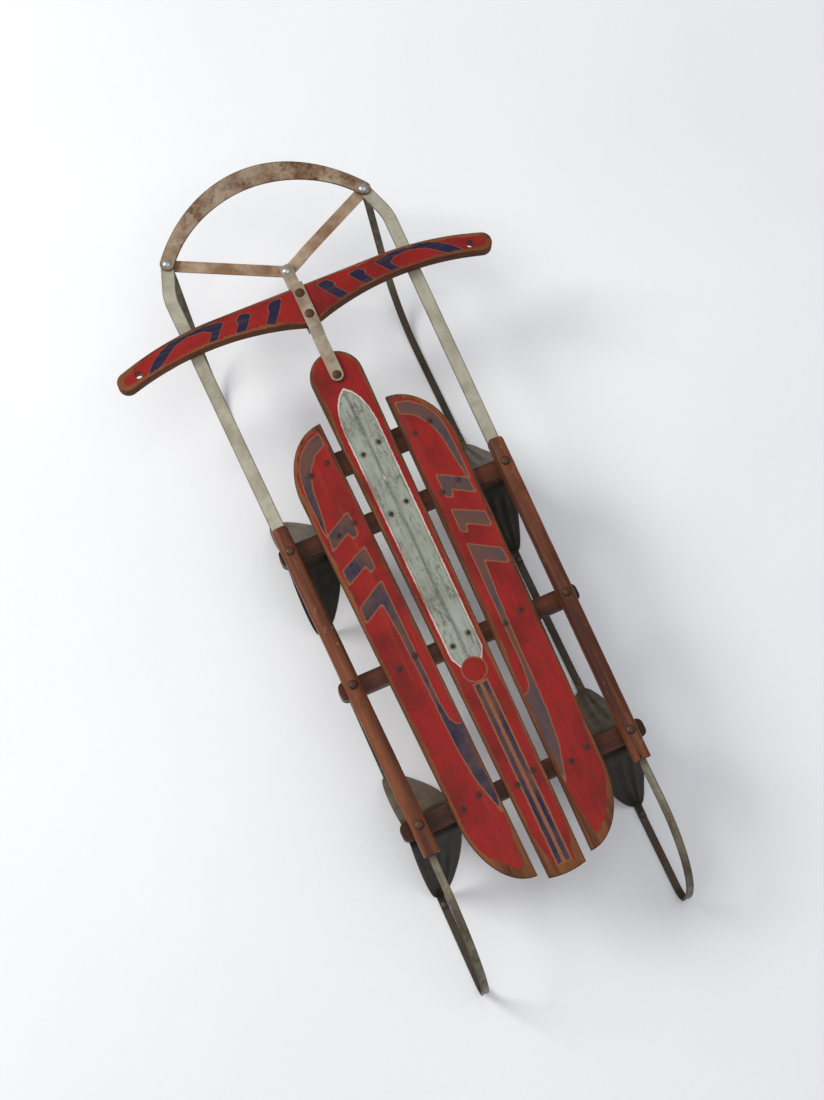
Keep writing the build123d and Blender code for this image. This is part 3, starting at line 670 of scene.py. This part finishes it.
side_rubs = [(1, -360, -452, 13), (1, 140, 180, 4)]
plank("deck_plank_left", LEFT_PAINT, side_figures, side_rubs, nails=loose_centres("nails_left"))
plank("deck_plank_right", RIGHT_PAINT, side_figures, side_rubs, nails=loose_centres("nails_right"))
pivot = middle("deck_pivot_bolt")
plank("deck_plank_centre", CENTRE_PAINT, [], [(1, -400, -465, 11)],
      panel=centre_panel, disc=(0, -195, 16), nails=loose_centres("nails_centre"),
      holes=[(pivot.x, pivot.y, 0.006)])
bar_holes = [(x, y, 0.006) for x, y in loose_centres("handlebar_bolts")]
bar_holes += [(mount["pos_m"][0], mount["pos_m"][1], 0.0075)
              for mount in frame["record"]["mounts"] if mount["kind"] == "bore"]
plank("handlebar", BAR_PAINT, bar_figures, [(0, 215, 266, 7)], holes=bar_holes)

for node in ("front_cleat", "bench_front", "bench_middle", "bench_rear"):
    wood = refined(node, 0.0012, 0.004, 0.0004, len(node))
    dress(wood, BENCH_WOOD, [node], body_of(node))
for side, name in SIDES:
    wood = refined(f"side_rail_{name}", 0.001, 0.004, 0.0007, side)
    dress(wood, RAIL_WOOD, [f"side_rail_{name}"], "deck")


# ---- small steel pieces ----------------------------------------------------------------
def steel(node, material, bevel=0.0004):
    piece = refined(node, bevel)
    store(piece, "edge", np.full(len(piece.data.vertices), 0.05))
    dress(piece, material, [node], body_of(node))


steel("steering_strap", STRAP_STEEL)
steel("pivot_bracket", STRAP_STEEL)
for _, name in SIDES:
    steel(f"link_{name}", LINK_STEEL)
    steel(f"nose_rivet_{name}", RIVET_STEEL, 0.0)
steel("centre_rivet", RIVET_STEEL, 0.0)
steel("foot_rivets", FOOT_STEEL, 0.0)
for node in ("handlebar_bolts", "deck_pivot_bolt", "rail_bolts", "knee_rivets"):
    steel(node, BOLT_STEEL, 0.0)
for node in ("handlebar_nuts", "rail_nuts", "deck_pivot_nut", "deck_pivot_washer"):
    steel(node, BOLT_STEEL, 0.0002)
for name in ("left", "centre", "right"):
    steel(f"nails_{name}", NAIL_STEEL, 0.0)


# ---- runners: one grooved bar from the nose, round the tail, to the rear bench --------------
def runner_path():
    """Middle line of a runner's bar in the (y, z) plane, from its front tab to its return."""
    tab_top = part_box("link_left")[0].z - 0.0002
    tab_z = tab_top - BAR / 2
    ground = BAR / 2
    back = runner_low.y + BAR / 2
    top_z = runner_high.z - BAR / 2
    bend_radius, rise_radius, high_radius = 0.012, 0.150, 0.126
    rise = 53.0
    low_radius = top_z - ground - high_radius
    bend_y = rivet.y - 0.0085
    lean = math.radians(rise)
    run = (tab_z - ground - (bend_radius + rise_radius) * (1 - math.cos(lean))) / math.tan(lean)
    rise_y = bend_y - (bend_radius + rise_radius) * math.sin(lean) - run
    return_end = max(v.co.y for v in frame["nodes"]["runner_right"].data.vertices
                     if v.co.z > bench_seat)
    path = [(rivet.y + 0.009, tab_z)]
    path += straight(path[-1], (bend_y, tab_z), 0.003)
    path += arc((bend_y, tab_z - bend_radius), bend_radius, 90, 90 + rise, 0.002)
    slope_end = arc((rise_y, ground + rise_radius), rise_radius, 270 + rise, 270)
    start = (rise_y + rise_radius * math.sin(lean), ground + rise_radius * (1 - math.cos(lean)))
    path += straight(path[-1], start)
    path += slope_end
    path += straight(path[-1], (back + low_radius, ground), 0.005)
    path += arc((back + low_radius, ground + low_radius), low_radius, 270, 180, 0.002)
    path += arc((back + high_radius, top_z - high_radius), high_radius, 180, 90)
    path += straight(path[-1], (return_end, top_z))
    return path


runner_line = runner_path()
runner_run = directions(runner_line)
for side, name in SIDES:
    section = bar_section(BAR_WIDTH, BAR, BAR_CORNER, 0.0009, 0.0044)
    centres = [(side * runner_x, y, z) for y, z in runner_line]
    downs = [(0, -run[1], run[0]) for run in runner_run]
    ups = [(0, -d[1], -d[2]) for d in downs]
    bar = sweep(f"runner_bar_{name}", centres, [(1, 0, 0)] * len(centres), ups,
                [section] * len(centres))
    dress(bar, RUNNER_STEEL, [f"runner_{name}", f"front_runner_{name}"])
    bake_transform(bar)


# ---- flat strips from the middle benches to the nose -----------------------------------------
def strip_path(side):
    """Middle line of a strip in plan, from its rear end to the nose rivet and round its end."""
    bolt_x, convergence = 0.150, 0.008
    corner_x, corner_back, corner_radius = 0.158, 0.046, 0.070
    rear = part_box(f"rail_strip_{'right' if side > 0 else 'left'}")[0].y
    slope = convergence / (bench_y["front"] - bench_y["rear"])
    start = Vector((bolt_x - slope * (bench_y["front"] - rear), rear))
    turn = Vector((corner_x, rivet.y - corner_back))
    end = Vector((rivet.x, rivet.y))
    into, out = (turn - start).normalized(), (end - turn).normalized()
    swing = into.angle(out)
    trim = corner_radius * math.tan(swing / 2)
    first, last = turn - into * trim, turn + out * trim
    heading = math.degrees(math.atan2(into.y, into.x))
    inward = Vector((-into.y, into.x))
    hub = first + inward * corner_radius
    path = [tuple(start)]
    path += straight(path[-1], tuple(first))
    path += arc(tuple(hub), corner_radius, heading - 90, heading - 90 + math.degrees(swing),
                0.002)
    path += straight(tuple(last), tuple(end), 0.002)
    tip = STRIP_WIDTH / 2
    path += [tuple(end + out * tip * math.sin(math.radians(a))) for a in range(15, 90, 12)]
    return [(side * x, y) for x, y in path], tip


for side, name in SIDES:
    path, tip = strip_path(side)
    along = directions(path)
    sections = []
    for x, y in path:
        past = 0.0
        if y > rivet.y:
            past = min(tip * 0.995, math.hypot(x - side * rivet.x, y - rivet.y))
        width = 2 * math.sqrt(tip ** 2 - past ** 2)
        sections.append(bar_section(width, BAR, min(BAR_CORNER, width / 4)))
    strip = sweep(f"side_strip_{name}", [(x, y, bench_top + BAR / 2) for x, y in path],
                  [(run[1], -run[0], 0) for run in along], [(0, 0, 1)] * len(path), sections)
    dress(strip, STRIP_STEEL, [f"rail_strip_{name}", f"front_strip_{name}"])
    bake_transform(strip)


# ---- bumper ---------------------------------------------------------------------------------
def bumper_bar():
    """A flat bar bowed round the nose, tipped up and wider in front, round at its ends."""
    low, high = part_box("bumper")
    tilt_front = math.radians(30)
    end_width, front_width = 0.020, 0.027
    apex = high.y - front_width / 2 * math.cos(tilt_front) - BAR / 2 * math.sin(tilt_front)
    sag = apex - rivet.y
    radius = (rivet.x ** 2 + sag ** 2) / (2 * sag)
    half_turn = math.asin(rivet.x / radius)
    hub_y = apex - radius
    count = 90
    extra = (end_width / 2) / radius
    shares = []
    for i in range(6, 0, -1):
        shares.append(-1 - extra / half_turn * math.sin(i * math.pi / 12) * 0.985)
    shares += [2 * i / count - 1 for i in range(count + 1)]
    shares += [-s for s in reversed(shares[:6])]
    centres, sides, ups, sections = [], [], [], []
    for share in shares:
        inside = max(-1.0, min(1.0, share))
        swell = math.cos(inside * math.pi / 2) ** 2
        turn = share * half_turn
        past = max(0.0, abs(share) - 1) * half_turn * radius
        width = end_width + (front_width - end_width) * swell
        tilt = tilt_front * swell
        out = Vector((math.sin(turn), math.cos(turn), 0))
        across = out * math.cos(tilt) + Vector((0, 0, math.sin(tilt)))
        along = Vector((math.cos(turn), -math.sin(turn), 0))
        z = low.z + BAR / 2 + width / 2 * math.sin(tilt)
        centres.append(Vector((0, hub_y, 0)) + out * radius + Vector((0, 0, z)))
        sides.append(across)
        ups.append(along.cross(across) * -1)
        if past:
            width = 2 * math.sqrt(max((end_width / 2) ** 2 - past ** 2, 1e-7))
        sections.append(bar_section(width, BAR, min(0.0009, width / 4)))
    ups = [up if up.z > 0 else -up for up in ups]
    return sweep("bumper_bar", centres, sides, ups, sections)


dress(bumper_bar(), BUMPER_STEEL, ["bumper"], "nose")


# ---- knees: pressed arches with ribs ------------------------------------------------------------
def knee_profile(centre_y):
    """Middle line of a knee's sheet in the (y, z) plane, from its fore foot to its aft foot."""
    foot_z = BAR + KNEE_SHEET / 2
    arch_z = bench_seat - KNEE_SHEET / 2
    anchors = [(KNEE_FORE + KNEE_FOOT, foot_z), (KNEE_FORE, foot_z), (KNEE_TOP_HALF, arch_z),
               (-KNEE_TOP_HALF, arch_z), (-KNEE_AFT, foot_z), (-KNEE_AFT - KNEE_FOOT, foot_z)]
    bend_radius = 0.012
    path = [anchors[0]]
    for before, here, after in zip(anchors, anchors[1:], anchors[2:]):
        into = (Vector(here) - Vector(before)).normalized()
        out = (Vector(after) - Vector(here)).normalized()
        swing = into.angle(out)
        trim = bend_radius * math.tan(swing / 2)
        first = Vector(here) - into * trim
        last = Vector(here) + out * trim
        path += straight(path[-1], tuple(first), 0.003)
        for i in range(1, 7):
            share = i / 6
            blend_in = first.lerp(Vector(here), share)
            blend_out = Vector(here).lerp(last, share)
            path.append(tuple(blend_in.lerp(blend_out, share)))
    path += straight(path[-1], anchors[-1], 0.003)
    return [(centre_y + y, z) for y, z in path]


def knee(row, side, name):
    """One pressed sheet: a bulb-shaped outline, three ribs and a rolled rim."""
    centre_y = bench_y[row]
    path = knee_profile(centre_y)
    run = directions(path)
    columns = 25
    skins = []
    edges = []
    # fore holds how much painted light each point gets on the forward slope.
    fore = []
    for lift in (KNEE_SHEET / 2, -KNEE_SHEET / 2):
        for (y, z), heading in zip(path, run):
            offset = y - centre_y
            reach = KNEE_FORE if offset > 0 else KNEE_AFT
            fullness = 1 - min(1, abs(offset) / reach) ** 2
            outer = 0.005 + 0.012 * fullness ** 0.45
            inner = 0.005 + 0.048 * fullness ** 0.75
            normal = Vector((0, -heading[1], heading[0]))
            if normal.z < 0 or (abs(normal.z) < 1e-6):
                normal = -normal
            climb = min(1.0, max(0.0, (z - 0.010) / 0.030)) * min(1.0, max(0.0, (0.118 - z) / 0.02))
            for j in range(columns):
                share = j / (columns - 1)
                a = -inner + (inner + outer) * share
                rib = sum(math.exp(-((share - place) / 0.055) ** 2) for place in (0.26, 0.5, 0.74))
                press = RIB_HEIGHT * rib * climb - 0.0007 * climb
                rim = min(share, 1 - share) * (inner + outer)
                press -= 0.0012 * math.exp(-(rim / 0.0022) ** 2) * climb
                point = Vector((side * (runner_x + a), y, z)) + normal * (lift + press)
                skins.append(point)
                edges.append(rim)
                fore.append(max(0.0, min(1.0, offset / 0.02)))
    rows = len(path)
    half = rows * columns
    faces = []
    for i in range(rows - 1):
        for j in range(columns - 1):
            a = i * columns + j
            faces.append((a, a + 1, a + columns + 1, a + columns))
            faces.append((half + a, half + a + columns, half + a + columns + 1, half + a + 1))
    for i in range(rows - 1):
        for j in (0, columns - 1):
            a, b = i * columns + j, (i + 1) * columns + j
            faces.append((a, b, half + b, half + a))
    for j in range(columns - 1):
        for i in (0, rows - 1):
            a, b = i * columns + j, i * columns + j + 1
            faces.append((a, b, half + b, half + a))
    mesh = bpy.data.meshes.new(f"knee_pressing_{row}_{name}")
    mesh.from_pydata(skins, [], faces)
    work = bmesh.new()
    work.from_mesh(mesh)
    bmesh.ops.recalc_face_normals(work, faces=work.faces)
    work.to_mesh(mesh)
    work.free()
    piece = new_piece(f"knee_pressing_{row}_{name}", mesh)
    # edge is the distance from the rim, where the knee steel paints shade.
    store(piece, "edge", edges)
    store(piece, "fore", fore)
    smooth(piece, 50)
    dress(piece, KNEE_STEEL, [f"knee_{row}_{name}"], "deck")


for row in ("front", "rear"):
    for side, name in SIDES:
        knee(row, side, name)


# ---- floor ---------------------------------------------------------------------------------------
floor_mesh = bpy.data.meshes.new("floor")
floor_mesh.from_pydata([(-6, -6, 0), (6, -6, 0), (6, 6, 0), (-6, 6, 0)], [], [(0, 1, 2, 3)])
floor = new_piece("floor", floor_mesh)
floor_mesh.materials.append(floor_finish())
